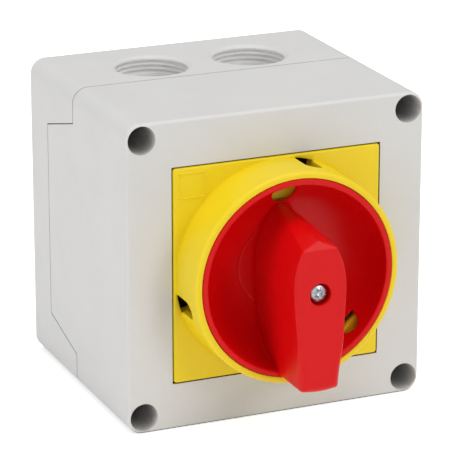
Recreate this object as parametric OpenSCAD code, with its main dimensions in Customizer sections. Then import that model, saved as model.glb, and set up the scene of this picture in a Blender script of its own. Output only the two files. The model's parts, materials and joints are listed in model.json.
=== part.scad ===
// Rotary isolator switch in a wall enclosure.
// The design is drawn lying on its back: x to the right, y up, z forward from the wall face.
// upright() then stands it up, so that the finished part has +Z up and its front towards -Y.
// The origin is the middle of the wall face.

/* [Enclosure] */
// Width and height of the square enclosure
box_w = 100; // [92:1:110]
// Depth from the wall face to the front face
box_d = 84.4; // [82:0.2:95]
// Radius of the four long corner edges
box_r = 5; // [4:0.5:6]
// Rounding of the front rim
rim_e = 1; // [0.6:0.1:1.4]
// Wall thickness
wall = 3; // [2.8:0.1:3.4]
// Distance of the parting seam from the wall face
seam_z = 39.1; // [38:0.1:41]
// Distance of the side tabs' rear edge from the wall face
tab_z = 15.6; // [14:0.2:20]
// Half height of a side tab at the seam
tab_front = 38.5; // [37:0.5:39]
// Half height of a side tab at its rear edge
tab_rear = 32.1; // [28:0.1:34]

/* [Cover screws] */
// Spacing of the cover screws, both ways
screw_pitch = 89.4; // [88.8:0.2:90]
// Radius of a screw well
well_r = 4.5; // [4.2:0.1:4.6]
// Depth of a screw well from the front face
well_deep = 28.4; // [20:0.4:32]

/* [Cable entries] */
// Distance of each entry from the middle of the box
entry_x = 17; // [16:0.5:19]
// Distance of the entries from the wall face
entry_z = 23.2; // [22:0.2:24]
// Radius of the thread's crests in the two top entries
top_r = 11.75; // [10:0.05:11.8]
// Radius of the thread's crests in the two bottom entries
bottom_r = 9.25; // [7:0.05:9.5]
// Depth of the thread
thread_deep = 0.75; // [0.5:0.05:0.8]
// Pitch of the thread
entry_pitch = 1.5; // [1:0.5:2]
// Length of the thread
entry_len = 7; // [5:0.5:7]

/* [Wall fixing] */
// Spacing of the wall fixing holes across
fix_x = 64; // [56:1:66]
// Spacing of the wall fixing holes upright
fix_y = 72; // [66:1:74]
// Radius of a wall fixing hole
fix_r = 2.5; // [2:0.1:2.6]

/* [Front plate] */
// Side of the square window recess in the cover
window_w = 70.2; // [70:0.1:71]
// Side of the square plate
plate_w = 69.4; // [69:0.1:69.6]
// Height of the plate's face over the front face
plate_face = 0.5; // [0:0.1:1]
// Outer radius of the collar
collar_r = 34; // [33.8:0.1:34.2]
// Height of the collar over the front face
collar_h = 16.3; // [15:0.1:16.4]
// Width of a padlock slot in the collar
slot_w = 6; // [5:0.1:6.4]
// Height of a padlock slot's top over the front face
slot_top = 9.9; // [8:0.1:11]
// Angle of the upper padlock slot, from three o'clock
slot_angle = 75; // [70:1:80]
// Angle between the two padlock slots
slot_step = 120; // [110:1:130]

/* [Handle] */
// Radius of the dish
dish_r = 31.7; // [31.5:0.1:31.75]
// Height of the dish's rim over the front face
dish_h = 16.5; // [16.4:0.1:17]
// Radius of the flat middle of the dish
hub_flat = 14; // [13:0.1:14.5]
// Radius of the dish's curved side, in section
bowl_r = 15.9; // [15:0.1:16]
// Thickness of the dish
dish_t = 2; // [1.8:0.1:2]
// Half width of the grip at its widest
grip_half = 8.65; // [8:0.05:9]
// Radius of the grip's curved flanks
grip_arc = 28; // [26:0.5:30]
// Half width of the grip at its lower end
grip_end = 6.4; // [6:0.1:7]
// Height of the grip's face over the front face, at the screw
grip_h = 32.5; // [30:0.1:34]
// Turn from off to on, in degrees
throw = 90; // [60, 90]

/* [Switch block] */
// Width of the contact decks
deck_w = 34; // [32:1:36]
// Half height of the rear contact deck
rear_half = 34; // [33.5:0.5:34.5]
// Half height of the front contact deck
front_half = 25.5; // [25:0.5:26]
// Thickness of one deck
deck_t = 12; // [12:0.1:12.5]
// Cam radius that holds a contact open
cam_high = 7.8; // [7.6:0.1:8]
// Travel of a contact plunger
travel = 1.8; // [1.4:0.1:1.8]
// Side of the square shaft
shaft_w = 6; // [5:0.5:6]

/* [Hidden] */
$fn = 96;

eps = 0.01;                       // overshoot of a cut past the face that it opens
far = 40;                         // length of a cut that goes right through
gap = 0.05;                       // running clearance of the shaft, cams and hub
half = box_w / 2;
screw_at = screw_pitch / 2;
shut_gap = 0.2;                   // half the open width of the parting seam
tab_gap = 0.25;                   // clearance round a side tab
cavity_x = half - 6.5;            // half width of the room inside
cavity_y = half - 4.6;            // half height of the room inside
pillar_r = 10.4;                  // corner pillar round each cover screw
tab_t = 2.1;                      // thickness of a side tab
gasket_w = 2;
gasket_t = 1.6;                   // depth of the gasket's groove
well_floor = box_d - well_deep;
pan_t = 3.2;                      // depth of the window recess
pan_floor = box_d - pan_t;
collar_in = dish_r + 0.2;
hub_r = 7;
seal_hole = hub_r + 2.2;
hub_z = 76;                       // rear end of the handle's hub
post_z = 9;                       // front of the posts that carry the switch block
foot_t = 4;
rear_z = post_z + foot_t;         // rear face of the rear deck
front_z = rear_z + deck_t;        // rear face of the front deck
detent_z = front_z + deck_t;      // rear face of the detent housing
detent_t = 11;
lid_z = detent_z + detent_t;
lid_t = 3;
shaft_rear = rear_z + 0.3;
shaft_top = box_d + 16;
screw_seat = box_d + grip_h - 3.1; // where the head of the handle's screw rests
post_x = 23;                      // place of the foot's posts and screws
post_r = 4.5;
pilot_floor = 2.5;                // rear end of the blind screw holes in the base
bolt_x = 14;                      // place of the tie bolts
bolt_hole_r = 1.6;
journal_r = 5.5;
contact_x = 9;                    // middle of a fixed contact
blade_w = 5;                      // width of a fixed contact
pad_y = cam_high + 2.75;          // contact face of a fixed contact
bridge_y = pad_y + travel + 0.05; // contact face of a bridge, open
tip_t = 0.5;
bridge_t = 1.5;
spring_y = bridge_y + tip_t + bridge_t;
spring_len = 5.8;
bridge_z = 6.7;                   // middle of a bridge within its deck
notch_r = 3.2;                    // radius of a notch in the detent wheel
detent_tip = 8;                   // radius of the detent wheel's lobes
detent_y = detent_tip + 0.1;
block_x = 37;                     // place of the terminal blocks
block_z = 6;                      // rear of the terminal blocks
block_w = 7;                      // section of a terminal block
block_pad = [9, 26];              // pad that a terminal block stands on
clamp_y = 7.5;                    // place of a terminal block's wire holes
plate_screw_at = 29;              // place of the front plate's screws
membrane = 1;                     // thickness of the disc that closes a cable entry
padlock_r = 3.85;                 // upper padlock hole of the dish
padlock_y = 24.6;
counterbore_r = 3.5;              // room for the head of the handle's screw
flange = 3;                       // height of the cover's sealing flange over the seam
entry_wall = 2.65;                // wall round a cable entry's thread
spring_seat = 16;                 // outer end of the detent springs
plunger_len = 3.9;                // length of a detent plunger

module upright() { rotate([90, 0, 0]) children(); }

// ---- shared shapes ----

// Rectangle with round corners
module round_rect(w, h, r) {
    square([w - 2 * r, h], center = true);
    square([w, h - 2 * r], center = true);
    for (x = [-1, 1], y = [-1, 1])
        translate([x * (w / 2 - r), y * (h / 2 - r)]) circle(r);
}

// Section of a slab's edge, with its front corner rounded
module edge_section(r, t, e) {
    square([r, t - e]);
    square([r - e, t]);
    translate([r - e, t - e]) circle(e);
}

// Slab with round corners and a rounded front rim
module soft_slab(w, h, r, t, e) {
    x = w / 2 - r;
    y = h / 2 - r;
    translate([-x, -y, 0]) cube([2 * x, 2 * y, t]);
    for (sx = [-1, 1], sy = [-1, 1])
        translate([sx * x, sy * y, 0]) rotate_extrude() intersection() {
            edge_section(r, t, e);
            square([r, t]);
        }
    for (s = [0, 180]) rotate([0, 0, s]) {
        translate([x, y, 0]) rotate([90, 0, 0]) linear_extrude(2 * y) edge_section(r, t, e);
        translate([-x, y, 0]) rotate([90, 0, 90]) linear_extrude(2 * x) edge_section(r, t, e);
    }
}

// One copy at each cover screw
module at_corners() {
    for (x = [-1, 1], y = [-1, 1]) translate([x * screw_at, y * screw_at, 0]) children();
}

// Outline of the room inside, grown by g: a rectangle that goes round the corner pillars
module room(g) {
    difference() {
        square([2 * (cavity_x + g), 2 * (cavity_y + g)], center = true);
        at_corners() circle(pillar_r - g);
    }
}

// Outline of a side tab: x is the height along the side, y the distance from the wall
module tab_outline(g) {
    polygon([[-tab_front - g, seam_z + 1], [-tab_front - g, seam_z], [-tab_rear - g, tab_z - g],
        [tab_rear + g, tab_z - g], [tab_front + g, seam_z], [tab_front + g, seam_z + 1]]);
}

// Slab on the right-hand side with the outline of a tab, from x0 outwards
module tab_slab(x0, t, g) {
    translate([x0, 0, 0]) rotate([90, 0, 90]) linear_extrude(t) tab_outline(g);
}

// Thread of a cable entry as rings, mouth at z = 0 and running down: r is the radius at its crests
module entry_bore(r) {
    chamfer = 0.8;
    root = r + thread_deep;
    ring = 0.6;
    corner = 0.3;
    translate([0, 0, -entry_len]) cylinder(r1 = r - corner, r2 = r, h = corner);
    translate([0, 0, corner - entry_len]) cylinder(r = r, h = entry_len - corner + eps);
    translate([0, 0, -chamfer]) cylinder(r1 = r, r2 = root + ring, h = chamfer + eps);
    for (i = [1 : floor(entry_len / entry_pitch) - 1])
        translate([0, 0, -chamfer / 2 - i * entry_pitch]) rotate_extrude()
            polygon([[r - 1, -ring], [r, -ring], [root, 0], [r, ring], [r - 1, ring]]);
}

// Wall round a cable entry, inside the box
module entry_boss(r) {
    translate([0, 0, -entry_len - membrane]) cylinder(r = r + entry_wall, h = entry_len);
}

// One copy at each cable entry of one side, mouth outwards: s is 1 at the top and -1 at the bottom
module at_entries(s) {
    for (x = [-entry_x, entry_x])
        translate([x, s * half, entry_z]) rotate([-s * 90, 0, 0]) children();
}

// Cross recess in a screw head, cut from z = 0 down
module cross_recess(r) {
    for (a = [0, 90]) rotate([0, 0, a])
        translate([-r * 0.62, -r * 0.13, -r * 0.5]) cube([r * 1.24, r * 0.26, r * 0.5 + eps]);
}

// Pan-head screw: underside of the head at z = 0, head forward, shank back
module pan_screw(head_r, head_t, shank_r, shank_len) {
    difference() {
        union() {
            cylinder(r = head_r, h = head_t * 0.55);
            translate([0, 0, head_t * 0.55]) cylinder(r1 = head_r, r2 = head_r * 0.72, h = head_t * 0.45);
        }
        translate([0, 0, head_t]) cross_recess(head_r);
    }
    translate([0, 0, -shank_len + shank_r]) cylinder(r = shank_r, h = shank_len - shank_r + eps);
    translate([0, 0, -shank_len]) cylinder(r1 = shank_r * 0.5, r2 = shank_r, h = shank_r);
}

// Everything in front of a plane through p with normal n is cut away
module cut_front_of(p, n) {
    translate(p) rotate([0, acos(n[2] / norm(n)), atan2(n[1], n[0])])
        translate([-box_w / 2, -box_w / 2, 0]) cube([box_w, box_w, far]);
}

// ---- enclosure ----

// One copy at each wall fixing hole
module at_fixings() {
    for (x = [-1, 1], y = [-1, 1]) translate([x * fix_x / 2, y * fix_y / 2, 0]) children();
}

module base_shell() {
    fix_len = wall + 1;
    color([0.83, 0.83, 0.82]) difference() {
        union() {
            difference() {
                linear_extrude(seam_z - shut_gap) round_rect(box_w, box_w, box_r);
                translate([0, 0, wall]) linear_extrude(seam_z) room(0);
            }
            at_entries(1) entry_boss(top_r);
            at_entries(-1) entry_boss(bottom_r);
            // posts of the switch block and of the terminal blocks
            for (s = [-1, 1]) translate([s * post_x, 0, 0]) cylinder(r = post_r, h = post_z);
            for (s = [-1, 1]) translate([s * block_x, 0, 0])
                linear_extrude(block_z) square(block_pad, center = true);
            // raised rings round the wall fixing holes
            at_fixings() cylinder(r = 2 * fix_r, h = fix_len);
        }
        // rebates that take the cover's side tabs
        for (s = [0, 180]) rotate([0, 0, s]) tab_slab(half - tab_t - 0.1, 10, tab_gap);
        at_entries(1) entry_bore(top_r);
        at_entries(-1) entry_bore(bottom_r);
        // groove of the gasket
        translate([0, 0, seam_z - shut_gap - gasket_t]) linear_extrude(gasket_t + 1)
            difference() { room(1 + gasket_w); room(1); }
        // holes of the cover screws, the foot screws and the block screws
        at_corners() translate([0, 0, 16]) cylinder(r = 2.05, h = seam_z);
        for (s = [-1, 1]) translate([s * post_x, 0, pilot_floor]) cylinder(r = 1.8, h = post_z);
        for (s = [-1, 1]) translate([s * block_x, 0, pilot_floor]) cylinder(r = 1.55, h = post_z);
        at_fixings() translate([0, 0, -eps]) cylinder(r = fix_r, h = fix_len + 2 * eps);
    }
}

module cover() {
    front = box_d - seam_z - shut_gap;
    color([0.84, 0.83, 0.81]) difference() {
        union() {
            difference() {
                translate([0, 0, seam_z + shut_gap]) soft_slab(box_w, box_w, box_r, front, rim_e);
                // room inside, wider above the sealing flange
                translate([0, 0, seam_z - 1]) linear_extrude(flange + 2) room(0);
                difference() {
                    translate([0, 0, seam_z + flange]) linear_extrude(box_d - wall - seam_z - flange)
                        round_rect(box_w - 2 * wall, box_w - 2 * wall, box_r - wall + 0.5);
                    at_corners() cylinder(r = well_r + 2.4, h = box_d);
                    translate([0, 0, box_d - wall - pan_t]) linear_extrude(wall + pan_t)
                        round_rect(window_w + 5, window_w + 5, 2);
                }
            }
            for (s = [0, 180]) rotate([0, 0, s]) intersection() {
                tab_slab(half - tab_t, tab_t, 0);
                translate([0, -half, 0]) cube([half, box_w, seam_z + 0.6]);
            }
        }
        at_corners() {
            translate([0, 0, well_floor]) cylinder(r = well_r, h = box_d);
            translate([0, 0, seam_z - 1]) cylinder(r = 2.15, h = box_d);
        }
        translate([0, 0, pan_floor]) linear_extrude(box_d) square(window_w, center = true);
        translate([0, 0, seam_z]) cylinder(r = seal_hole, h = box_d);
        at_plate_screws() translate([0, 0, seam_z + 10]) cylinder(r = 1.5, h = box_d);
    }
}

module cover_gasket() {
    color([0.15, 0.15, 0.15]) translate([0, 0, seam_z - shut_gap - gasket_t])
        linear_extrude(gasket_t + 2 * shut_gap) difference() {
            room(0.95 + gasket_w);
            room(1.05);
        }
}

module cover_screws() {
    color([0.75, 0.76, 0.78]) at_corners() translate([0, 0, well_floor])
        pan_screw(3.7, 2.8, 2, well_floor - 18);
}

// ---- front plate ----

// One copy at each screw that holds the front plate
module at_plate_screws() {
    for (x = [-1, 1], y = [-1, 1])
        translate([x * plate_screw_at, y * plate_screw_at, 0]) children();
}

// Padlock slot: an arch through the collar at angle a, with a pit under it through the plate
module collar_slot(a) {
    from = collar_in - 3;
    rotate([0, 0, a]) {
        translate([from, 0, box_d]) rotate([90, 0, 90]) linear_extrude(8) {
            translate([-slot_w / 2, plate_face]) square([slot_w, slot_top - slot_w / 2 - plate_face]);
            translate([0, slot_top - slot_w / 2]) circle(slot_w / 2);
        }
        translate([from, -slot_w / 2, pan_floor - eps])
            cube([collar_r - from, slot_w, pan_t + plate_face + 2 * eps]);
    }
}

module front_plate() {
    face = pan_t + plate_face;
    color([0.95, 0.82, 0.1]) difference() {
        union() {
            translate([0, 0, pan_floor]) soft_slab(plate_w, plate_w, 1.5, face, 0.6);
            // collar with a rounded rim and a fillet at its foot
            translate([0, 0, box_d]) rotate_extrude() difference() {
                union() {
                    translate([collar_in - 2, -1]) square([collar_r - collar_in + 1, collar_h + 1]);
                    translate([collar_in - 2, -1]) square([collar_r - collar_in + 2, collar_h]);
                    translate([collar_r - 1, collar_h - 1]) circle(1);
                    translate([collar_r - 1, -1]) square([1.7, 1.7 + plate_face]);
                }
                translate([collar_r + 0.7, 0.7 + plate_face]) circle(0.7);
            }
            // raised frame of the legend field
            translate([-28.7, 27.9, box_d + plate_face - eps]) linear_extrude(0.2) difference() {
                square([9.4, 8], center = true);
                square([8.6, 7.2], center = true);
            }
        }
        // room for the dish, deeper in the middle
        translate([0, 0, box_d - 0.3]) cylinder(r = collar_in, h = far);
        translate([0, 0, box_d - 1.4]) cylinder(r = 21, h = far);
        translate([0, 0, pan_floor - eps]) cylinder(r = hub_r + gap, h = far);
        for (a = [slot_angle, slot_angle + slot_step]) collar_slot(a);
        at_plate_screws() translate([0, 0, pan_floor - eps]) cylinder(r = 1.3, h = 2.8);
    }
}

module plate_screws() {
    color([0.75, 0.76, 0.78]) at_plate_screws()
        translate([0, 0, pan_floor - wall]) rotate([180, 0, 0]) pan_screw(2.6, 2, 1.25, wall + 2.5);
}

// ---- handle ----

// Plan of the grip: two arcs that meet in a bow at the top and run into straight flanks below
module grip_plan() {
    join_y = -1.4;
    widest_y = 1.6;
    shoulder = grip_half - 0.1;
    intersection() {
        translate([grip_half - grip_arc, widest_y]) circle(grip_arc, $fn = 180);
        translate([grip_arc - grip_half, widest_y]) circle(grip_arc, $fn = 180);
        translate([-far, join_y]) square([2 * far, far]);
    }
    intersection() {
        polygon([[-shoulder, join_y], [-grip_end, -dish_r], [grip_end, -dish_r], [shoulder, join_y]]);
        circle(dish_r - 0.2, $fn = 180);
    }
}

// The grip: the plan extruded forward, with a sloping face and a cut bow
module grip() {
    face = box_d + grip_h;
    edge = [0, 13.8, face - 0.51];      // where the face meets the facet above it
    bow = [0, 16.6, face - 1.4];        // front of the bow's ridge
    face_slope = [0, 0.037, 1];
    facet_slope = [0, 0.41, 0.912];
    difference() {
        translate([0, 0, box_d]) linear_extrude(far) grip_plan();
        cut_front_of([0, 0, face], face_slope);
        cut_front_of(edge, facet_slope);
        for (s = [-1, 1]) cut_front_of(bow, [s * 0.382, 0.915, 0.13]);
    }
}

// Section of the dish: flat middle, curved side, cylindrical skirt
module dish_section() {
    rise = bowl_r + 1;
    difference() {
        intersection() {
            translate([0, -dish_t + 1]) square([dish_r, dish_h + dish_t - 1]);
            union() {
                translate([hub_flat, rise]) circle(bowl_r + dish_t, $fn = 180);
                translate([0, -dish_t + 1]) square([hub_flat, dish_h]);
                translate([dish_r - dish_t, 9]) square([dish_t, dish_h - 9]);
            }
        }
        translate([hub_flat, rise]) circle(bowl_r, $fn = 180);
        translate([-eps, 1]) square([hub_flat, 40]);
        translate([hub_flat, dish_h - 3]) square([dish_r - dish_t - hub_flat, 10]);
    }
}

// Lower padlock hole: straight on the side of the hub, then out through a notch in the skirt
module side_hole() {
    wide = 7.9;
    inner = 26.9;
    notch_h = 10;
    rotate([0, 0, -45]) translate([0, 0.4, box_d - dish_t]) {
        linear_extrude(far) intersection() {
            translate([inner - 5.6, 0]) circle(8);
            translate([inner, -wide / 2]) square([far, wide]);
        }
        translate([inner + 1.4, -wide / 2, 0]) cube([dish_r - inner, wide, notch_h + dish_t]);
    }
}

module handle() {
    seat = 13.7;
    color([0.8, 0.05, 0.06]) difference() {
        union() {
            translate([0, 0, box_d]) rotate_extrude($fn = 180) dish_section();
            // raised seat of the grip: a disc with a square corner pointing up
            translate([0, 0, box_d]) cylinder(r = seat, h = 1.5);
            translate([0, 0, box_d]) rotate([0, 0, 45]) cube([seat, seat, 1.5]);
            grip();
            translate([0, 0, hub_z]) cylinder(r = hub_r, h = box_d - hub_z);
        }
        // padlock holes: a round one above, and one below on the right
        translate([0, padlock_y, box_d - dish_t]) cylinder(r = padlock_r, h = dish_h + dish_t);
        side_hole();
        // square socket of the shaft, then the screw's hole and counterbore
        translate([0, 0, (hub_z + shaft_top) / 2])
            cube([shaft_w + 0.1, shaft_w + 0.1, shaft_top - hub_z + 0.2], center = true);
        translate([0, 0, shaft_top - 1]) cylinder(r = 1.6, h = far);
        translate([0, 0, screw_seat]) cylinder(r = counterbore_r, h = far);
    }
}

module handle_screw() {
    color([0.78, 0.79, 0.8]) translate([0, 0, screw_seat]) pan_screw(2.9, 2.2, 1.5, 22);
}

module shaft() {
    color([0.7, 0.71, 0.73]) difference() {
        translate([-shaft_w / 2, -shaft_w / 2, shaft_rear])
            cube([shaft_w, shaft_w, shaft_top - shaft_rear]);
        translate([0, 0, shaft_top - 10]) cylinder(r = 1.55, h = far);
    }
}

module shaft_seal() {
    color([0.1, 0.1, 0.1]) translate([0, 0, pan_floor - wall / 2]) rotate_extrude()
        translate([(hub_r + seal_hole) / 2, 0]) circle(1.05, $fn = 32);
}

// ---- switch block ----

module switch_foot() {
    color([0.3, 0.31, 0.33]) translate([0, 0, post_z]) difference() {
        linear_extrude(foot_t) {
            round_rect(2 * post_x + 12, 18, 3);
            round_rect(deck_w, 2 * rear_half - 4, 2);
        }
        for (s = [-1, 1]) translate([s * post_x, 0, -eps]) cylinder(r = 2, h = 10);
        for (s = [-1, 1]) translate([s * bolt_x, 0, 1]) cylinder(r = 1.55, h = 10);
    }
}

module foot_screws() {
    color([0.75, 0.76, 0.78]) for (s = [-1, 1])
        translate([s * post_x, 0, post_z + foot_t]) pan_screw(3.2, 2.4, 1.75, foot_t + 5);
}

// Housing of one contact deck, open to the front; each pole is a chamber above and below the cam
module deck(half_h) {
    color([0.25, 0.26, 0.28]) difference() {
        linear_extrude(deck_t) round_rect(deck_w, 2 * half_h, 2);
        translate([0, 0, -eps]) cylinder(r = journal_r + gap, h = far);
        translate([0, 0, 2]) cylinder(r = cam_high + 0.8, h = far);
        for (s = [-1, 1]) translate([s * bolt_x, 0, -eps]) cylinder(r = bolt_hole_r, h = far);
        for (s = [0, 180]) rotate([0, 0, s]) {
            // guide of the plunger and seat of the spring
            translate([-3.55, 0, 3]) cube([7.1, bridge_y + 1, far]);
            translate([-2.9, 0, 3.4]) cube([5.8, spring_y + spring_len, far]);
            // sweep of the bridge
            translate([-11.7, pad_y - 0.3, 3.3]) cube([23.4, spring_y - pad_y + 1, far]);
            // channels of the fixed contacts
            for (x = [-contact_x, contact_x]) translate([x - blade_w / 2 - 0.1, pad_y - 1.4, 3.3])
                cube([blade_w + 0.2, half_h, far]);
        }
    }
}

// Cam: falls steadily through the handle's throw ahead of each plunger, then rises again
function cam_radius(a) =
    a < throw ? cam_high - travel * a / throw :
    a < throw + 20 ? cam_high - travel :
    a < throw + 60 ? cam_high - travel * (throw + 60 - a) / 40 : cam_high;

module cam() {
    step = 3;
    color([0.85, 0.84, 0.78]) difference() {
        union() {
            translate([0, 0, gap]) cylinder(r = journal_r, h = deck_t - 2 * gap);
            translate([0, 0, 2.1]) linear_extrude(deck_t - 2.3)
                polygon([for (a = [0 : step : 360 - step])
                    let (r = cam_radius(a % 180)) [-r * sin(a), r * cos(a)]]);
        }
        translate([-shaft_w / 2 - gap, -shaft_w / 2 - gap, -eps])
            cube([shaft_w + 2 * gap, shaft_w + 2 * gap, far]);
    }
}

module plunger() {
    low = cam_high + 0.15;
    color([0.9, 0.88, 0.8]) {
        translate([-3.5, low, 3.6]) cube([7, bridge_y + tip_t - low, 6]);
        translate([0, bridge_y + tip_t - eps, bridge_z]) rotate([-90, 0, 0]) cylinder(r = 1.2, h = 3.6);
    }
}

module bridge() {
    color([0.8, 0.55, 0.3]) difference() {
        union() {
            translate([-11.2, bridge_y + tip_t, bridge_z - 1.8]) cube([22.4, bridge_t, 3.6]);
            for (x = [-contact_x, contact_x]) translate([x, bridge_y, bridge_z]) rotate([-90, 0, 0])
                cylinder(r = 1.6, h = tip_t + eps);
        }
        translate([0, bridge_y - 1, bridge_z]) rotate([-90, 0, 0]) cylinder(r = 1.25, h = 5);
    }
}

// Points along an arc of radius r, from angle 0 back to -sweep
function arc_points(r, sweep, steps) =
    [for (i = [0 : steps]) let (a = -sweep * i / steps) r * [cos(a), sin(a)]];

// Coil spring of square wire that stands on z = 0: its level section is an arc as long as
// one wire thickness of climb takes
module coil(mean_r, wire, len, turns) {
    sweep = 360 * turns * wire / len;
    outer = arc_points(mean_r + wire / 2, sweep, 3);
    inner = arc_points(mean_r - wire / 2, sweep, 3);
    linear_extrude(len, twist = sweep - 360 * turns, slices = 10 * turns, $fn = 8)
        polygon(concat(outer, [for (i = [3 : -1 : 0]) inner[i]]));
}

module contact_spring() {
    color([0.7, 0.7, 0.72]) translate([0, spring_y + 0.05, bridge_z]) rotate([-90, 0, 0])
        coil(2.1, 0.5, spring_len - 0.1, 4);
}

// One fixed contact of a pole with its terminal block, on the right-hand side
module fixed_contact(half_h) {
    end_y = half_h - 0.8;
    low_y = pad_y - 1.2;
    translate([contact_x - blade_w / 2, low_y, 3.5]) cube([blade_w, 1.2, 5]);
    translate([contact_x - blade_w / 2, low_y, 3.5]) cube([blade_w, end_y - low_y, 1.2]);
    difference() {
        translate([contact_x - blade_w / 2, end_y - 6.4, 3.5]) cube([blade_w, 6.4, 6.3]);
        translate([contact_x, end_y - 5.4, 6.8]) rotate([-90, 0, 0]) cylinder(r = 1.7, h = 10);
        translate([contact_x, end_y - 3.2, 6.8]) cylinder(r = 1.45, h = 10);
    }
}

// One copy for each side of each pole, given the deck's rear face and half height
module at_poles() {
    for (s = [0, 180], m = [0, 1]) rotate([0, 0, s]) mirror([m, 0, 0]) children();
}

module fixed_contacts() {
    color([0.85, 0.7, 0.35]) {
        translate([0, 0, rear_z]) at_poles() fixed_contact(rear_half);
        translate([0, 0, front_z]) at_poles() fixed_contact(front_half);
    }
}

module terminal_screws() {
    color([0.75, 0.76, 0.78]) {
        translate([0, 0, rear_z + 9.9]) at_poles()
            translate([contact_x, rear_half - 4, 0]) pan_screw(2.1, 1.5, 1.4, 2.6);
        translate([0, 0, front_z + 9.9]) at_poles()
            translate([contact_x, front_half - 4, 0]) pan_screw(2.1, 1.5, 1.4, 2.6);
    }
}

// ---- detent ----

module detent_housing() {
    color([0.35, 0.36, 0.38]) translate([0, 0, detent_z]) difference() {
        linear_extrude(detent_t) round_rect(deck_w, 34, 2);
        translate([0, 0, -eps]) cylinder(r = journal_r + gap, h = far);
        translate([0, 0, 2]) cylinder(r = detent_tip + 0.6, h = far);
        for (s = [-1, 1]) translate([s * bolt_x, 0, -eps]) cylinder(r = bolt_hole_r, h = far);
        for (s = [0, 180]) rotate([0, 0, s]) translate([-2.3, 0, 3]) cube([4.6, spring_seat, far]);
    }
}

// Wheel with a notch at every quarter turn
module detent_wheel() {
    color([0.85, 0.84, 0.78]) translate([0, 0, detent_z]) difference() {
        union() {
            cylinder(r = journal_r, h = 3);
            translate([0, 0, 2.2]) difference() {
                cylinder(r = detent_tip, h = detent_t - 2.4);
                for (a = [0 : 90 : 270]) rotate([0, 0, a]) translate([0, detent_tip + 1, -eps])
                    cylinder(r = notch_r, h = far);
            }
        }
        translate([-shaft_w / 2 - gap, -shaft_w / 2 - gap, -eps])
            cube([shaft_w + 2 * gap, shaft_w + 2 * gap, far]);
    }
}

// Plunger with a round nose that rides on the wheel
module detent_plunger() {
    nose = 1.9;
    rear = detent_z + 3.3;
    color([0.9, 0.88, 0.8]) {
        translate([0, detent_y + nose, rear]) cylinder(r = nose, h = 5);
        translate([-2.2, detent_y + nose, rear]) cube([4.4, plunger_len - nose, 5]);
    }
}

module detent_spring() {
    len = spring_seat - detent_y - plunger_len;
    color([0.7, 0.7, 0.72]) translate([0, spring_seat - len + gap, detent_z + 5.8]) rotate([-90, 0, 0])
        coil(1.6, 0.5, len - 0.1, 3);
}

module detent_lid() {
    color([0.3, 0.31, 0.33]) translate([0, 0, lid_z]) difference() {
        linear_extrude(lid_t) round_rect(deck_w, 34, 2);
        translate([0, 0, -eps]) cylinder(r = 4.6, h = far);
        for (s = [-1, 1]) translate([s * bolt_x, 0, -eps]) cylinder(r = bolt_hole_r, h = far);
    }
}

module tie_bolts() {
    color([0.75, 0.76, 0.78]) for (s = [-1, 1])
        translate([s * bolt_x, 0, lid_z + lid_t]) pan_screw(2.6, 2, 1.5, lid_z + lid_t - post_z - 1.5);
}

// ---- terminal blocks beside the switch ----

// Brass block with wire holes across and a clamp screw over each
module block(s) {
    translate([s * block_x, 0, block_z]) difference() {
        translate([-block_w / 2, -11, 0]) cube([block_w, 22, block_w]);
        for (y = [-clamp_y, clamp_y]) {
            translate([0, y, 3]) rotate([0, 90, 0]) cylinder(r = 2, h = far, center = true);
            translate([0, y, 3]) cylinder(r = 1.55, h = far);
        }
        translate([0, 0, -eps]) cylinder(r = 1.6, h = far);
    }
}

module earth_terminal() { color([0.85, 0.7, 0.35]) block(-1); }

module neutral_terminal() { color([0.85, 0.7, 0.35]) block(1); }

module block_screws() {
    color([0.75, 0.76, 0.78]) for (s = [-1, 1]) translate([s * block_x, 0, block_z + block_w]) {
        pan_screw(2.8, 2, 1.5, 10);
        for (y = [-clamp_y, clamp_y]) translate([0, y, 0.2]) pan_screw(2.4, 1.6, 1.5, 4.4);
    }
}

// One pole's copy of a part: s is 0 above and 180 below
module pole(z, s) { translate([0, 0, z]) rotate([0, 0, s]) children(); }

upright() base_shell();
upright() cover();
upright() cover_gasket();
upright() cover_screws();
upright() front_plate();
upright() plate_screws();
upright() handle();
upright() handle_screw();
upright() shaft();
upright() shaft_seal();
upright() switch_foot();
upright() foot_screws();
upright() pole(rear_z, 0) deck(rear_half);  // rear_deck
upright() pole(front_z, 0) deck(front_half);  // front_deck
upright() pole(rear_z, 0) cam();  // rear_cam
upright() pole(front_z, 0) cam();  // front_cam
upright() pole(rear_z, 0) plunger();  // rear_top_plunger
upright() pole(rear_z, 180) plunger();  // rear_bottom_plunger
upright() pole(front_z, 0) plunger();  // front_top_plunger
upright() pole(front_z, 180) plunger();  // front_bottom_plunger
upright() pole(rear_z, 0) bridge();  // rear_top_bridge
upright() pole(rear_z, 180) bridge();  // rear_bottom_bridge
upright() pole(front_z, 0) bridge();  // front_top_bridge
upright() pole(front_z, 180) bridge();  // front_bottom_bridge
upright() pole(rear_z, 0) contact_spring();  // rear_top_spring
upright() pole(rear_z, 180) contact_spring();  // rear_bottom_spring
upright() pole(front_z, 0) contact_spring();  // front_top_spring
upright() pole(front_z, 180) contact_spring();  // front_bottom_spring
upright() fixed_contacts();
upright() terminal_screws();
upright() detent_housing();
upright() detent_wheel();
upright() pole(0, 0) detent_plunger();  // top_detent_plunger
upright() pole(0, 180) detent_plunger();  // bottom_detent_plunger
upright() pole(0, 0) detent_spring();  // top_detent_spring
upright() pole(0, 180) detent_spring();  // bottom_detent_spring
upright() detent_lid();
upright() tie_bolts();
upright() earth_terminal();
upright() neutral_terminal();
upright() block_screws();
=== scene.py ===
"""Looks of the rotary isolator switch.

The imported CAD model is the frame. The handle, its screw, the front plate and the legend field are
rebuilt here with soft edges; every other CAD node keeps its shape and gets its own material.
Shapes are worked out in millimetres as (x, h, z): x to the right, h forward from the cover's
front face, z up.
"""

import json
import math

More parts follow.
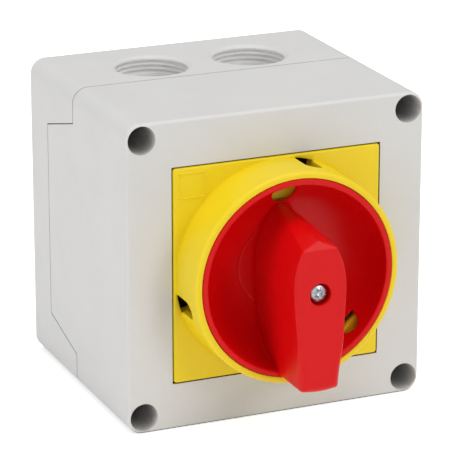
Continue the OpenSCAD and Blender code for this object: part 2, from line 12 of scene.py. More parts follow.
import bmesh
import bpy
import numpy as np
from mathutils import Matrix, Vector


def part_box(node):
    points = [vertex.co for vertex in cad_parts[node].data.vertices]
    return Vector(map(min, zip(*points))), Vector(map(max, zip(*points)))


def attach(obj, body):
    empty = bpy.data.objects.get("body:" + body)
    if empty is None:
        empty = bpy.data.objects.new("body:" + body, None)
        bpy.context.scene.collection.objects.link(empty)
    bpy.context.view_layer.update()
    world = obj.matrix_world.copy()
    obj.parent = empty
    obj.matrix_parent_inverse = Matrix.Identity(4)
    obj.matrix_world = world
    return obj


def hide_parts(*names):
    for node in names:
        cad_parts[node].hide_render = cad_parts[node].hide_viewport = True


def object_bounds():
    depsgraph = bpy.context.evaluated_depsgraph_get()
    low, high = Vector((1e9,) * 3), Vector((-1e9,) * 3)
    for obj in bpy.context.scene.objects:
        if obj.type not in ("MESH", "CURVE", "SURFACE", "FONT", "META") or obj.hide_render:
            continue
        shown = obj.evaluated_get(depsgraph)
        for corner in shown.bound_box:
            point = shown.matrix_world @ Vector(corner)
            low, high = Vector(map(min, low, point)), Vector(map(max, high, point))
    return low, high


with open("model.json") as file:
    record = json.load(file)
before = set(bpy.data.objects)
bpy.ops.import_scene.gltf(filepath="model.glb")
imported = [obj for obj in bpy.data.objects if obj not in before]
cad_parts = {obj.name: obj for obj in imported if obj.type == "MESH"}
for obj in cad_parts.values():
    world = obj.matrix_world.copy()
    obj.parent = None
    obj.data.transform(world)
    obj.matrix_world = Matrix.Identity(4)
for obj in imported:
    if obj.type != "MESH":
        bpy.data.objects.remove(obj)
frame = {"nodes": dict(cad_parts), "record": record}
cad_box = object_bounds()

MM = 0.001
FRONT_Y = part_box("cover")[0].y          # the cover's front face


# ---------------------------------------------------------------- solids from distance fields

def both(first, *others):
    """Intersection of fields with sharp edges."""
    for other in others:
        first = np.maximum(first, other)
    return first


def either(first, second):
    """Union of two fields with a sharp edge."""
    return np.minimum(first, second)


def cut(body, tool):
    """The body with the tool's space taken away."""
    return np.maximum(body, -tool)


def round_and(a, b, r):
    """Intersection of two fields with the edge rounded to radius r."""
    return np.minimum(-r, np.maximum(a, b)) + np.hypot(np.maximum(a + r, 0), np.maximum(b + r, 0))


def round_or(a, b, r):
    """Union of two fields with a fillet of radius r."""
    return -round_and(-a, -b, r)


def round_cut(body, tool, r):
    """The body with the tool's space taken away, and the new edge rounded to radius r."""
    return round_and(body, -tool, r)


def smooth(a, b, x):
    """0 where x is at a, 1 where it is at b, and smooth between them."""
    t = np.clip((x - a) / (b - a), 0, 1)
    return t * t * (3 - 2 * t)


CORNERS = np.array([(i, j, k) for i in (0, 1) for j in (0, 1) for k in (0, 1)])
CELL_EDGES = [(a, b) for a in range(8) for b in range(a + 1, 8)
              if np.abs(CORNERS[a] - CORNERS[b]).sum() == 1]
PROBE = 0.02                            # step of a slope measurement, in cells
PULL = 0.06                             # weight of the crossings' middle against their planes
MARGIN = 0.03                           # side of a cell that its point stays out of, in cells
SETTLE_ROUNDS = 3                       # moves of each point onto the surface


def slope_of(field, p, tiny):
    """Gradient of the field at each row of p."""
    return np.stack([(field(*(p + e).T) - field(*(p - e).T)) / (2 * tiny)
                     for e in np.eye(3) * tiny], 1)


def net_points(field, lo, step, values, cells):
    """One surface point in each cell that the surface crosses, on the sharp edge if there is one.

    Each crossed cell edge gives a plane; the point is the one nearest to all of a cell's planes.
    """
    v8 = np.stack([values[tuple((cells + c).T)] for c in CORNERS], 1)
    total = np.zeros((len(cells), 3))
    count = np.zeros(len(cells))
    square = np.zeros((len(cells), 3, 3))
    right = np.zeros((len(cells), 3))
    tiny = step * PROBE
    for a, b in CELL_EDGES:
        at = np.flatnonzero((v8[:, a] < 0) != (v8[:, b] < 0))
        t = (v8[at, a] / (v8[at, a] - v8[at, b]))[:, None]
        p = lo + (cells[at] + CORNERS[a] + (CORNERS[b] - CORNERS[a]) * t) * step
        slope = slope_of(field, p, tiny)
        size = np.maximum(np.linalg.norm(slope, axis=1), 0.1)
        normal = slope / size[:, None]
        offset = (normal * p).sum(1) - field(*p.T) / size
        total[at] += p
        count[at] += 1
        square[at] += normal[:, :, None] * normal[:, None, :]
        right[at] += normal * offset[:, None]
    mean = total / count[:, None]
    square += PULL * np.eye(3)
    right += PULL * mean
    p = np.linalg.solve(square, right[:, :, None])[:, :, 0]
    low = lo + (cells + MARGIN) * step
    high = low + (1 - 2 * MARGIN) * step
    p = np.clip(p, low, high)
    for _ in range(SETTLE_ROUNDS):
        slope = slope_of(field, p, tiny)
        move = -field(*p.T)[:, None] * slope / np.maximum((slope ** 2).sum(1), 0.25)[:, None]
        p = np.clip(p + move, low, high)
    return p


def net_faces(inside, index):
    """A quad round each grid edge that the surface crosses."""
    faces = []
    for axis in range(3):
        u, v = (axis + 1) % 3, (axis + 2) % 3
        first = np.take(inside, range(inside.shape[axis] - 1), axis)
        second = np.take(inside, range(1, inside.shape[axis]), axis)
        at = np.argwhere(first != second)
        at = at[(at[:, u] > 0) & (at[:, v] > 0)
                & (at[:, u] < inside.shape[u] - 1) & (at[:, v] < inside.shape[v] - 1)]
        du, dv = np.eye(3, dtype=int)[u], np.eye(3, dtype=int)[v]
        quad = np.stack([index[tuple((at - s).T)] for s in (du + dv, dv, 0 * du, du)], 1)
        outward = first[tuple(at.T)]
        quad[~outward] = quad[~outward][:, ::-1]
        faces.append(quad)
    return np.concatenate(faces)


def add_object(name, data):
    """New object in the scene, of a mesh, a light or a camera."""
    obj = bpy.data.objects.new(name, data)
    bpy.context.scene.collection.objects.link(obj)
    return obj


def field_mesh(name, field, box, step):
    """Mesh of the solid where field(x, h, z) is negative; box and step are in millimetres."""
    lo, hi = np.array(box, float)
    axes = [lo[i] + step * np.arange(int((hi[i] - lo[i]) / step) + 2) for i in range(3)]
    values = np.zeros([len(a) for a in axes])
    values += field(*np.meshgrid(*axes, indexing="ij", sparse=True))
    inside = values < 0
    shape = [n - 1 for n in inside.shape]
    some, every = np.zeros(shape, bool), np.ones(shape, bool)
    for c in CORNERS:
        part = inside[tuple(slice(c[i], c[i] + shape[i]) for i in range(3))]
        some |= part
        every &= part
    cells = np.argwhere(some & ~every)
    index = np.full(shape, -1)
    index[tuple(cells.T)] = np.arange(len(cells))
    points = net_points(field, lo, step, values, cells)
    rows = np.stack([points[:, 0] * MM, FRONT_Y - points[:, 1] * MM, points[:, 2] * MM], 1)
    mesh = bpy.data.meshes.new(name)
    mesh.from_pydata(rows.tolist(), [], net_faces(inside, index)[:, ::-1].tolist())
    mesh.validate()
    mesh.update()
    return add_object(name, mesh)


# ---------------------------------------------------------------- the handle

HANDLE_BOX, HANDLE_STEP = ((-32.6, -8.9, -32.6), (32.6, 34.6, 32.6)), 0.46
DISH_R, DISH_H = 31.75, 16.5            # the dish's rim
DISH_T, SKIRT_H = 1.3, 9                # thickness of the dish, and lower edge of its skirt
BOWL_R, BOWL_MID, BOWL_FLAT = 15.8, 16.9, 14.0     # round side, and its centre (h, r)
SEAT_R, SEAT_RISE = 13.7, 0.35          # raised seat in the middle of the dish
HUB_R, HUB_REAR = 7.0, -8.4             # hub that goes through the plate and the cover
GRIP_HALF, GRIP_ARC, GRIP_MID = 8.65, 28.0, 1.6    # half width, flanks' radius, widest place (z)
GRIP_JOIN, GRIP_TAPER = -1.4, 0.071     # where the arcs end, and taper of the flanks below
GRIP_END_R = 31.5                       # its lower end follows a circle about the screw
GRIP_H, GRIP_TILT = 32.5, 0.037         # the grip's face at the screw, and its slope
GRIP_EDGE = 0.25
# planes that cut the grip: parts of the slope along z and h, and a point (z, h) on the plane
FACET_SLOPE, FACET_AT = (0.41, 0.912), (13.8, GRIP_H - 0.51)
BOW_SLOPE, BOW_AT, BOW_SIDE = (0.915, 0.130), (16.6, 31.1), 0.382
SCREW_HOLE_R, SCREW_SEAT = 3.5, 29.4
TOP_HOLE_Z, TOP_HOLE_R = 24.6, 3.85
# the lower padlock hole, measured outward along its own diagonal and across it
LOW_HOLE_MID, LOW_HOLE_R, LOW_HOLE_SIDE = 21.3, 8.0, 0.4
LOW_HOLE_HALF, LOW_HOLE_FLAT, LOW_HOLE_SLANT = 3.95, 26.9, 0.75
HOLE_EDGE = 0.25


def bowl_field(r, h):
    """Hollow of the dish: a flat middle, and a round side that rises to the rim."""
    return np.hypot(np.maximum(r - BOWL_FLAT, 0), np.minimum(h - BOWL_MID, 0)) - BOWL_R


def plane(z, h, slope, at):
    """Distance in front of a plane that is given by its slope and a point."""
    return slope[0] * (z - at[0]) + slope[1] * (h - at[1])


def grip_field(x, h, z):
    """The boat-shaped grip: two arcs that meet in a bow, straight flanks below, cut by planes."""
    off = GRIP_ARC - GRIP_HALF
    arcs = round_and(np.hypot(x + off, z - GRIP_MID) - GRIP_ARC,
                     np.hypot(x - off, z - GRIP_MID) - GRIP_ARC, GRIP_EDGE)
    flank = np.abs(x) - (GRIP_HALF - 0.1 - (GRIP_JOIN - z) * GRIP_TAPER)
    plan = np.where(z > GRIP_JOIN, arcs, flank)
    plan = round_and(plan, np.hypot(x, z) - GRIP_END_R, 1.2)
    ridge = 0.1 + 0.09 * np.maximum(GRIP_H - 2 - h, 0)          # the bow's edge, blunter below
    bow = BOW_SIDE * (np.hypot(x, ridge) - 0.7 * ridge) + plane(z, h, BOW_SLOPE, BOW_AT)
    body = round_and(plan, bow, 0.3)
    soft = 0.35 + 2.4 * smooth(-14, -29, z)                     # the face's edge, softer below
    body = round_and(body, h - GRIP_H + GRIP_TILT * z, soft)
    body = round_and(body, plane(z, h, FACET_SLOPE, FACET_AT), 0.12)
    return both(body, -h)


def dish_field(x, h, z):
    """Thin dish with a skirt round its rim, and a raised seat with a square corner pointing up."""
    r = np.hypot(x, z)
    bowl = bowl_field(r, h)
    dish = round_and(r - DISH_R, h - DISH_H, 0.3)
    dish = round_cut(dish, bowl, 0.5)
    skirt = both(DISH_R - DISH_T - r, SKIRT_H - h)
    dish = both(dish, either(bowl - DISH_T, skirt))
    u, v = (x + z) / math.sqrt(2), (z - x) / math.sqrt(2)
    corner = both(u - SEAT_R, v - SEAT_R, -u, -v)
    seat = round_and(either(r - SEAT_R, corner), -bowl - SEAT_RISE, 0.2)
    return either(dish, both(seat, bowl - 1))


def low_hole_field(x, h, z):
    """Lower padlock hole: its inner side is straight, and it slants outward as it goes in."""
    bowl = bowl_field(np.hypot(x, z), h)
    out = (x - z) / math.sqrt(2) - LOW_HOLE_SLANT * np.maximum(bowl, 0)
    side = (x + z) / math.sqrt(2) - LOW_HOLE_SIDE
    hole = round_and(np.hypot(out - LOW_HOLE_MID, side) - LOW_HOLE_R,
                     np.abs(side) - LOW_HOLE_HALF, 1.4)
    hole = round_and(hole, LOW_HOLE_FLAT - out, 0.3)
    return both(hole, -2 - h, -1 - bowl)


def handle_field(x, h, z):
    """Dish, grip and hub in one, with the padlock holes and the screw's hole."""
    r = np.hypot(x, z)
    fillet = 0.1 + 0.7 * smooth(-17, -25, z) * smooth(30.5, 28, r)
    body = round_or(dish_field(x, h, z), grip_field(x, h, z), fillet)
    body = either(body, both(r - HUB_R, h, HUB_REAR - h))
    body = round_cut(body, np.hypot(x, z - TOP_HOLE_Z) - TOP_HOLE_R, HOLE_EDGE)
    body = round_cut(body, low_hole_field(x, h, z), HOLE_EDGE)
    return round_cut(body, both(r - SCREW_HOLE_R, SCREW_SEAT - h), 0.2)


# ---------------------------------------------------------------- the screw in the handle

SCREW_BOX, SCREW_STEP = ((-3.2, 7.8, -3.2), (3.2, 32.2, 3.2)), 0.15
HEAD_R, HEAD_TOP, DOME_R = 2.9, 31.75, 4.8
SHANK_R, SHANK_REAR = 1.5, 8
CROSS_TURN = 0.5                        # turn of the cross, in radians
CROSS_HALF, CROSS_END, CROSS_MID_R, CROSS_DEEP = 0.42, 1.7, 0.85, 1.5
MARK_HALF, MARK_END, MARK_DEEP = 0.16, 2.2, 0.62


def screw_field(x, h, z):
    """Pan head with a cross recess and the four marks between its arms, on a plain shank."""
    r = np.hypot(x, z)
    dome = np.hypot(r, h - (HEAD_TOP - DOME_R)) - DOME_R
    head = round_and(round_and(r - HEAD_R, dome, 0.35), SCREW_SEAT - h, 0.1)
    c, s = math.cos(CROSS_TURN), math.sin(CROSS_TURN)
    a, b = np.abs(x * c + z * s), np.abs(z * c - x * s)
    arms = either(both(a - CROSS_HALF, b - CROSS_END), both(b - CROSS_HALF, a - CROSS_END))
    cross = either(arms, r - CROSS_MID_R)
    head = cut(head, both(cross, HEAD_TOP - CROSS_DEEP + 0.55 * r - h))
    marks = both(np.abs(a - b) - MARK_HALF, r - MARK_END)
    head = cut(head, both(marks, HEAD_TOP - MARK_DEEP - h))
    return either(head, both(r - SHANK_R, h - SCREW_SEAT - 0.5, SHANK_REAR - h))


# ---------------------------------------------------------------- the front plate

PLATE_BOX, PLATE_STEP = ((-35.6, -3.8, -35.6), (35.6, 17.2, 35.6)), 0.48
PLATE_HALF, PLATE_FACE, PLATE_REAR = 34.7, 0.5, -3.2
PLATE_CORNER = 0.9
FLOOR_H, WELL_R, WELL_H = -0.3, 21, -1.4        # the plate's face under the dish, in two steps
COLLAR_R, COLLAR_IN, COLLAR_H = 34.0, 31.9, 16.3
SLOT_HALF, SLOT_TOP = 3.0, 9.9
SLOT_ANGLES = (75, 195)
SLOT_EDGE = 0.3
SHELF_HALF, SHELF_START, SHELF_H = 6.5, 29, 7.6
SHELF_GAP = 0.35                        # room between the shelf and the dish


def shelf_field(x, h, z):
    """Shelf on the collar's inside, behind the dish's lower hole."""
    r = np.hypot(x, z)
    along, across = (x - z) / math.sqrt(2), (x + z) / math.sqrt(2)
    shelf = both(np.abs(across) - SHELF_HALF, SHELF_START - along, r - COLLAR_IN - 1)
    return both(shelf, DISH_T + SHELF_GAP - bowl_field(r, h), np.abs(h - SHELF_H) - 1)


def slot_field(x, h, z, angle):
    """Arched padlock slot through the collar, which leaves the plate whole outside the collar."""
    c, s = math.cos(math.radians(angle)), math.sin(math.radians(angle))
    out, side = x * c + z * s, np.abs(z * c - x * s)
    arch = np.hypot(side, np.maximum(h - SLOT_TOP + SLOT_HALF, 0)) - SLOT_HALF
    arch = both(arch, np.where(h < PLATE_FACE + 0.3, np.hypot(x, z) - COLLAR_R - 0.1, -1))
    return both(arch, COLLAR_IN - 3 - out)


def plate_field(x, h, z):
    """Square plate with a collar, padlock slots and a shelf, and a round hole for the hub."""
    r = np.hypot(x, z)
    ax, az = np.abs(x) - PLATE_HALF + PLATE_CORNER, np.abs(z) - PLATE_HALF + PLATE_CORNER
    outline = np.hypot(np.maximum(ax, 0), np.maximum(az, 0)) + np.minimum(np.maximum(ax, az), 0)
    slab = round_and(outline - PLATE_CORNER, h - PLATE_FACE, 0.55)
    collar = round_and(round_and(r - COLLAR_R, h - COLLAR_H, 0.9), COLLAR_IN - r, 0.2)
    body = round_or(slab, both(collar, -h), 0.15)
    body = both(body, PLATE_REAR - h)
    body = cut(body, both(r - COLLAR_IN, FLOOR_H - h))
    body = cut(body, both(r - WELL_R, WELL_H - h))
    body = either(body, shelf_field(x, h, z))
    body = cut(body, r - HUB_R - 0.05)
    for angle in SLOT_ANGLES:
        body = round_cut(body, slot_field(x, h, z, angle), SLOT_EDGE)
    return body


# ---------------------------------------------------------------- small meshes

LEGEND_MID, LEGEND_SIZE = (-28.7, 29.0), (9.4, 8.6)
LEGEND_RIM, LEGEND_RISE, LEGEND_ROOT = 0.8, 0.22, -0.2      # from the plate's face


def legend_frame(name):
    """Raised rectangular frame of the legend field, with bevelled sides, rooted in the plate."""
    bm = bmesh.new()
    rings = []
    for share, up in ((0, LEGEND_ROOT), (0.3, LEGEND_RISE), (0.7, LEGEND_RISE), (1, LEGEND_ROOT)):
        a, b = (side / 2 - LEGEND_RIM * share for side in LEGEND_SIZE)
        y = FRONT_Y - (PLATE_FACE + up) * MM
        rings.append([bm.verts.new(((LEGEND_MID[0] + i * a) * MM, y, (LEGEND_MID[1] + j * b) * MM))
                      for i, j in ((-1, -1), (1, -1), (1, 1), (-1, 1))])
    for a, b in zip(rings, rings[1:] + rings[:1]):
        for i in range(4):
            bm.faces.new((a[i], a[(i + 1) % 4], b[(i + 1) % 4], b[i]))
    bmesh.ops.recalc_face_normals(bm, faces=bm.faces)
    mesh = bpy.data.meshes.new(name)
    bm.to_mesh(mesh)
    bm.free()
    return add_object(name, mesh)


# ---------------------------------------------------------------- materials

class Nodes:
    """Short spellings for building a node material."""

    def __init__(self, name):
        self.material = bpy.data.materials.new(name)
        self.material.use_nodes = True
        self.tree = self.material.node_tree
        self.shader = self.tree.nodes["Principled BSDF"]
        self.place = self.tree.nodes.new("ShaderNodeTexCoord").outputs["Object"]

    def link(self, a, b):
        self.tree.links.new(a, b)

    def noise(self, scale, detail=3.0, rough=0.55, stretch=None):
        """Noise of about that many waves per metre, from 0 to 1."""
        n = self.tree.nodes.new("ShaderNodeTexNoise")
        n.inputs["Scale"].default_value = scale
        n.inputs["Detail"].default_value = detail
        n.inputs["Roughness"].default_value = rough
        place = self.place
        if stretch:
            m = self.tree.nodes.new("ShaderNodeMapping")
            m.inputs["Scale"].default_value = stretch
            self.link(self.place, m.inputs["Vector"])
            place = m.outputs["Vector"]
        self.link(place, n.inputs["Vector"])
        return n.outputs["Fac"]

    def remap(self, value, a, b, low, high):
        """The value carried from a..b to low..high, and held at the ends."""
        n = self.tree.nodes.new("ShaderNodeMapRange")
        n.inputs["From Min"].default_value = a
        n.inputs["From Max"].default_value = b
        n.inputs["To Min"].default_value = low
        n.inputs["To Max"].default_value = high
        self.link(value, n.inputs["Value"])
        return n.outputs["Result"]

    def mix(self, factor, a, b):
        """Colour a where the factor is 0, b where it is 1; each is a colour or a socket."""
        n = self.tree.nodes.new("ShaderNodeMix")
        n.data_type = "RGBA"
        self.link(factor, n.inputs["Factor"])
        for socket, value in (("A", a), ("B", b)):
            target = [i for i in n.inputs if i.name == socket and i.type == "RGBA"][0]
            if isinstance(value, (tuple, list)):
                target.default_value = (*value, 1)
            else:
                self.link(value, target)
        return [o for o in n.outputs if o.type == "RGBA"][0]

    def math(self, kind, a, b):
        """Arithmetic of that kind on two values, each a number or a socket."""
        n = self.tree.nodes.new("ShaderNodeMath")
        n.operation = kind
        for i, value in enumerate((a, b)):
            if isinstance(value, (int, float)):
                n.inputs[i].default_value = value
            else:
                self.link(value, n.inputs[i])
        return n.outputs[0]

    def edges(self, radius):
        """0 on flat surfaces, and up to 1 on edges of about that radius; also the bevelled normal."""
        bevel = self.tree.nodes.new("ShaderNodeBevel")
        bevel.samples = 6
        bevel.inputs["Radius"].default_value = radius
        geometry = self.tree.nodes.new("ShaderNodeNewGeometry")
        dot = self.tree.nodes.new("ShaderNodeVectorMath")
        dot.operation = "DOT_PRODUCT"
        self.link(bevel.outputs["Normal"], dot.inputs[0])
        self.link(geometry.outputs["Normal"], dot.inputs[1])
        return self.remap(dot.outputs["Value"], 1.0, 0.7, 0.0, 1.0), bevel.outputs["Normal"]

    def crevice(self, reach):
        """1 in the open, falling to 0 deep inside gaps and holes."""
        n = self.tree.nodes.new("ShaderNodeAmbientOcclusion")
        n.samples = 8
        n.inputs["Distance"].default_value = reach
        return n.outputs["AO"]

    def outside(self, lo, hi):
        """0 inside the box between two corners in metres, 1 outside it."""
        away = self.place
        for kind, value in (("SUBTRACT", (Vector(lo) + Vector(hi)) / 2), ("ABSOLUTE", None),
                            ("SUBTRACT", (Vector(hi) - Vector(lo)) / 2)):
            n = self.tree.nodes.new("ShaderNodeVectorMath")
            n.operation = kind
            self.link(away, n.inputs[0])
            if value is not None:
                n.inputs[1].default_value = value
            away = n.outputs["Vector"]
        split = self.tree.nodes.new("ShaderNodeSeparateXYZ")
        self.link(away, split.inputs[0])
        far = self.math("MAXIMUM", self.math("MAXIMUM", split.outputs[0], split.outputs[1]),
                        split.outputs[2])
        return self.math("GREATER_THAN", far, 0.0)

    def bump(self, heights, normal=None):
        """Bumps from (height, distance) pairs, each on top of the one before."""
        for height, distance in heights:
            n = self.tree.nodes.new("ShaderNodeBump")
            n.inputs["Distance"].default_value = distance
            n.inputs["Strength"].default_value = 1.0
            self.link(height, n.inputs["Height"])
            if normal is not None:
                self.link(normal, n.inputs["Normal"])
            normal = n.outputs["Normal"]
        self.link(normal, self.shader.inputs["Normal"])

    def put(self, socket, value):
        """Set a socket of the shader to a number or a colour, or link it."""
        target = self.shader.inputs[socket]
        if isinstance(value, (int, float)):
            target.default_value = value
        elif isinstance(value, (tuple, list)):
            target.default_value = (*value, 1)
        else:
            self.link(value, target)


# the inside of the box round the cable entries, painted lighter than the skin and free of painted
# shade, corner to corner
LIT_ENTRIES = ((-0.045, FRONT_Y + 0.047, -0.0492), (0.045, -0.001, 0.0492))
# the cover's pocket behind the front plate, painted near black as its shadow, corner to corner
SHADED_POCKET = ((-0.036, FRONT_Y + 0.001, -0.036), (0.036, FRONT_Y + 0.0045, 0.036))
# painted shade in crevices: how far in mm a crevice is felt, how open its darkest and its unshaded
# places are, and how much colour the darkest keeps
HOUSING_CREVICE_SHADE = (10, 0.08, 0.33, 0.02)
YELLOW_CREVICE_SHADE = (1.2, 0.02, 0.12, 0.7)
RED_CREVICE_SHADE = (1.2, 0.02, 0.15, 0.7)
INSIDE_CREVICE_SHADE = (1.2, 0.05, 0.35, 0.3)
SEAM_SHADE_REACH = 0.5                              # reach of the fine crevices of the housing, in mm, along which shade is painted near black


def scaled(colour, factor):
    return tuple(c * factor for c in colour)


def plastic(name, colour, rough, grain, shine, worn=0.25, crevice_shade=INSIDE_CREVICE_SHADE, housing=False):
    """Moulded plastic: faint mottling, fine moulded grain, edges slightly paler and smoother, and
    painted shade that darkens the colour inside crevices, gaps and holes.

    The housing's also has painted shade along its seams, a painted shadow in the pocket behind the
    plate, and painted light that makes the cable entries paler.
    """
    n = Nodes(name)
    edge, normal = n.edges(0.3 * MM)
    cloud = n.noise(45, 2.0)
    speck = n.noise(1400, 3.0, 0.6)
    base = n.mix(n.remap(cloud, 0.3, 0.7, 0, 1), scaled(colour, 0.985), scaled(colour, 1.015))
    base = n.mix(n.remap(speck, 0.35, 0.65, 0, 0.12), base, scaled(colour, 0.82))
    pale = tuple(min(1.0, c * 1.06 + 0.03) for c in colour)
    rub = n.math("MULTIPLY", edge, n.remap(n.noise(260, 2.0), 0.35, 0.7, 0.3 * worn, worn))
    base = n.mix(rub, base, pale)
    # painted shade: the colour darkens towards near black inside crevices, gaps and holes
    reach, shut, clear, least = crevice_shade
    open_air = n.crevice(reach * MM)
    unshaded = n.remap(open_air, shut, clear, least, 1.0)
    if housing:
        # painted shadow: the pocket behind the front plate is painted near black
        unshaded = n.math("MULTIPLY", unshaded, n.outside(*SHADED_POCKET))
        # painted shade: near black along the housing's narrow seams and gaps
        unshaded = n.math("MULTIPLY", unshaded, n.remap(n.crevice(SEAM_SHADE_REACH * MM), 0.45, 0.8, 0.0, 1.0))
        # painted light: round the cable entries the painted shade is lifted and the colour is painted
        # 12 % lighter
        entries_lit = n.math("SUBTRACT", 1.0, n.outside(*LIT_ENTRIES))
        unshaded = n.math("MAXIMUM", unshaded, entries_lit)
        base = n.mix(entries_lit, base, scaled(colour, 1.12))
    # the colour goes towards near black where the painted shade is deepest
    n.put("Base Color", n.mix(unshaded, scaled(colour, 0.02), base))
    tone = n.remap(n.noise(120, 3.0), 0.3, 0.7, rough - 0.05, rough + 0.06)
    n.put("Roughness", n.math("SUBTRACT", tone, n.math("MULTIPLY", edge, 0.08)))
    n.put("Specular IOR Level", n.remap(open_air, 0.72, 1.0, 0.0, shine))
    n.bump([(n.noise(900, 3.0, 0.65), grain * MM), (n.noise(70, 2.0), 0.012 * MM)], normal)
    return n.material


def metal(name, colour, rough, brushed, tint):
    """Plated or drawn metal: cloudy sheen, fine lines, duller and darker in patches."""
    n = Nodes(name)
    edge, normal = n.edges(0.12 * MM)
    cloud = n.noise(500, 3.0, 0.6)
    base = n.mix(n.remap(cloud, 0.3, 0.72, 0, 1), colour, tint)
    n.put("Base Color", n.mix(n.math("MULTIPLY", edge, 0.4), base, scaled(colour, 1.12)))
    n.put("Metallic", 1.0)
    n.put("Roughness", n.remap(n.noise(800, 3.0), 0.3, 0.7, rough - 0.07, rough + 0.09))
    lines = n.noise(2600, 2.0, 0.5, (1, 1, 0.06) if brushed else None)
    n.bump([(lines, 0.01 * MM)], normal)
    return n.material


def rubber(name, colour):
    """Dull rubber with a dusty bloom."""
    n = Nodes(name)
    dust = n.remap(n.noise(90, 4.0), 0.45, 0.75, 0, 0.35)
    n.put("Base Color", n.mix(dust, colour, (0.12, 0.12, 0.12)))
    n.put("Roughness", n.remap(n.noise(300, 2.0), 0.3, 0.7, 0.72, 0.9))
    n.bump([(n.noise(1200, 3.0, 0.6), 0.02 * MM)])
    return n.material


MATERIALS = {
    "grey_plastic": plastic("grey_plastic", (0.615, 0.61, 0.602), 0.5, 0.012, 0.3,
                            crevice_shade=HOUSING_CREVICE_SHADE, housing=True),
    "yellow_plastic": plastic("yellow_plastic", (0.79, 0.59, 0.012), 0.38, 0.006, 0.3,
                              crevice_shade=YELLOW_CREVICE_SHADE),
    "red_plastic": plastic("red_plastic", (0.62, 0.001, 0.002), 0.36, 0.006, 0.22, crevice_shade=RED_CREVICE_SHADE),
    "gasket_rubber": rubber("gasket_rubber", (0.025, 0.025, 0.026)),
    "zinc_steel": metal("zinc_steel", (0.6, 0.62, 0.64), 0.32, False, (0.38, 0.42, 0.46)),
    "shaft_steel": metal("shaft_steel", (0.62, 0.62, 0.63), 0.3, True, (0.48, 0.49, 0.5)),
    "deck_plastic": plastic("deck_plastic", (0.035, 0.036, 0.04), 0.48, 0.012, 0.45, worn=0.1),
    "cam_plastic": plastic("cam_plastic", (0.72, 0.69, 0.58), 0.42, 0.008, 0.45),
    "contact_brass": metal("contact_brass", (0.78, 0.56, 0.24), 0.3, True, (0.6, 0.4, 0.16)),
    "spring_steel": metal("spring_steel", (0.6, 0.6, 0.61), 0.28, False, (0.46, 0.46, 0.47)),
}
CAD_SHARP, PIECE_SHARP, ALL_SMOOTH = 28, 36, 180    # edges sharper than this stay sharp, in degrees


def dress(obj, slot):
    obj.data.materials.clear()
    obj.data.materials.append(MATERIALS[slot])


def shade_by_angle(obj, degrees):
    """Smooth shading over curved faces, with edges sharper than the angle kept."""
    mesh = obj.data
    mesh.polygons.foreach_set("use_smooth", [True] * len(mesh.polygons))
    mesh.set_sharp_from_angle(angle=math.radians(degrees))


def dress_cad():
    """Give every CAD node the material of its slot."""
    for part in frame["record"]["subparts"]:
        obj = frame["nodes"][part["node"]]
        dress(obj, part["material_slot"])
        shade_by_angle(obj, CAD_SHARP)


def add_piece(obj, body, slot, node=None):
    """Let a new piece ride on a body, in the place of a CAD node if one is named."""
    dress(obj, slot)
    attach(obj, body)
    if node:
        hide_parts(node)


def build_pieces():
    handle = field_mesh("handle_moulding", handle_field, HANDLE_BOX, HANDLE_STEP)
    shade_by_angle(handle, PIECE_SHARP)
    add_piece(handle, "rotor", "red_plastic", "handle")
    screw = field_mesh("handle_screw_head", screw_field, SCREW_BOX, SCREW_STEP)
    shade_by_angle(screw, ALL_SMOOTH)
    add_piece(screw, "rotor", "zinc_steel", "handle_screw")
    plate = field_mesh("plate_moulding", plate_field, PLATE_BOX, PLATE_STEP)
    shade_by_angle(plate, PIECE_SHARP)
    add_piece(plate, "enclosure", "yellow_plastic", "front_plate")
    add_piece(legend_frame("legend_field"), "enclosure", "yellow_plastic")


# ---------------------------------------------------------------- stage, light and camera

FLOOR_SIZE = 8
FLOOR_GLOW = (0.13, 0.6)                # light that the floor gives off to the object, to the camera
WORLD_LIGHT = 0.53
LIGHTS_AIM = (0, -0.06, 0)
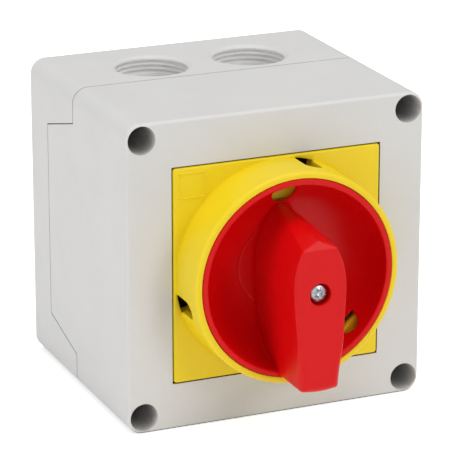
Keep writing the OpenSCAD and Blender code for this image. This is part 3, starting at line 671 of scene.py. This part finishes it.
# name, place, side and power of each soft box
SOFT_BOXES = (("key", (-0.8, -2.6, 0.3), 1.2, 3), ("side", (-2.6, -0.4, 0.5), 1.2, 19),
              ("sheen", (1.0, -2.0, 1.15), 0.8, 13), ("top", (0.2, -0.3, 2.4), 1.2, 28))
CAMERA_PLACE = (-0.3545, -0.8715, 0.2971)
CAMERA_TILT, CAMERA_TURN = 0.320, -0.406
CAMERA_LENS, SENSOR = 230.9, 36.0


def stage_floor(lowest):
    """Pale plain floor that runs far behind the object."""
    bm = bmesh.new()
    bmesh.ops.create_grid(bm, x_segments=1, y_segments=1, size=FLOOR_SIZE)
    mesh = bpy.data.meshes.new("floor")
    bm.to_mesh(mesh)
    bm.free()
    floor = add_object("floor", mesh)
    floor.location.z = lowest
    n = Nodes("floor_paper")
    n.put("Base Color", n.mix(n.noise(8, 2.0), (0.88, 0.88, 0.88), (0.9, 0.9, 0.9)))
    n.put("Roughness", 0.9)
    n.put("Specular IOR Level", 0.1)
    n.put("Emission Color", (1, 1, 1))
    camera_ray = n.tree.nodes.new("ShaderNodeLightPath").outputs["Is Camera Ray"]
    n.put("Emission Strength", n.remap(camera_ray, 0.0, 1.0, *FLOOR_GLOW))
    mesh.materials.append(n.material)


def soft_box(name, place, side, power):
    light = bpy.data.lights.new(name, "AREA")
    light.shape = "RECTANGLE"
    light.size = light.size_y = side
    light.energy = power
    obj = add_object(name, light)
    obj.location = place
    obj.rotation_euler = (Vector(LIGHTS_AIM) - Vector(place)).to_track_quat("-Z", "Y").to_euler()


def light_scene():
    world = bpy.data.worlds.new("studio")
    world.use_nodes = True
    background = world.node_tree.nodes["Background"].inputs
    background["Color"].default_value = (1, 1, 1, 1)
    background["Strength"].default_value = WORLD_LIGHT
    scene = bpy.context.scene
    scene.world = world
    scene.view_settings.view_transform = "Standard"
    for box in SOFT_BOXES:
        soft_box(*box)


def add_camera():
    data = bpy.data.cameras.new("camera")
    data.sensor_width = SENSOR
    data.lens = CAMERA_LENS
    data.clip_start, data.clip_end = 0.05, 50
    camera = add_object("camera", data)
    camera.location = CAMERA_PLACE
    camera.rotation_euler = (math.pi / 2 - CAMERA_TILT, 0, CAMERA_TURN)
    bpy.context.scene.camera = camera


dress_cad()
build_pieces()
stage_floor(cad_box[0].z)
light_scene()
add_camera()
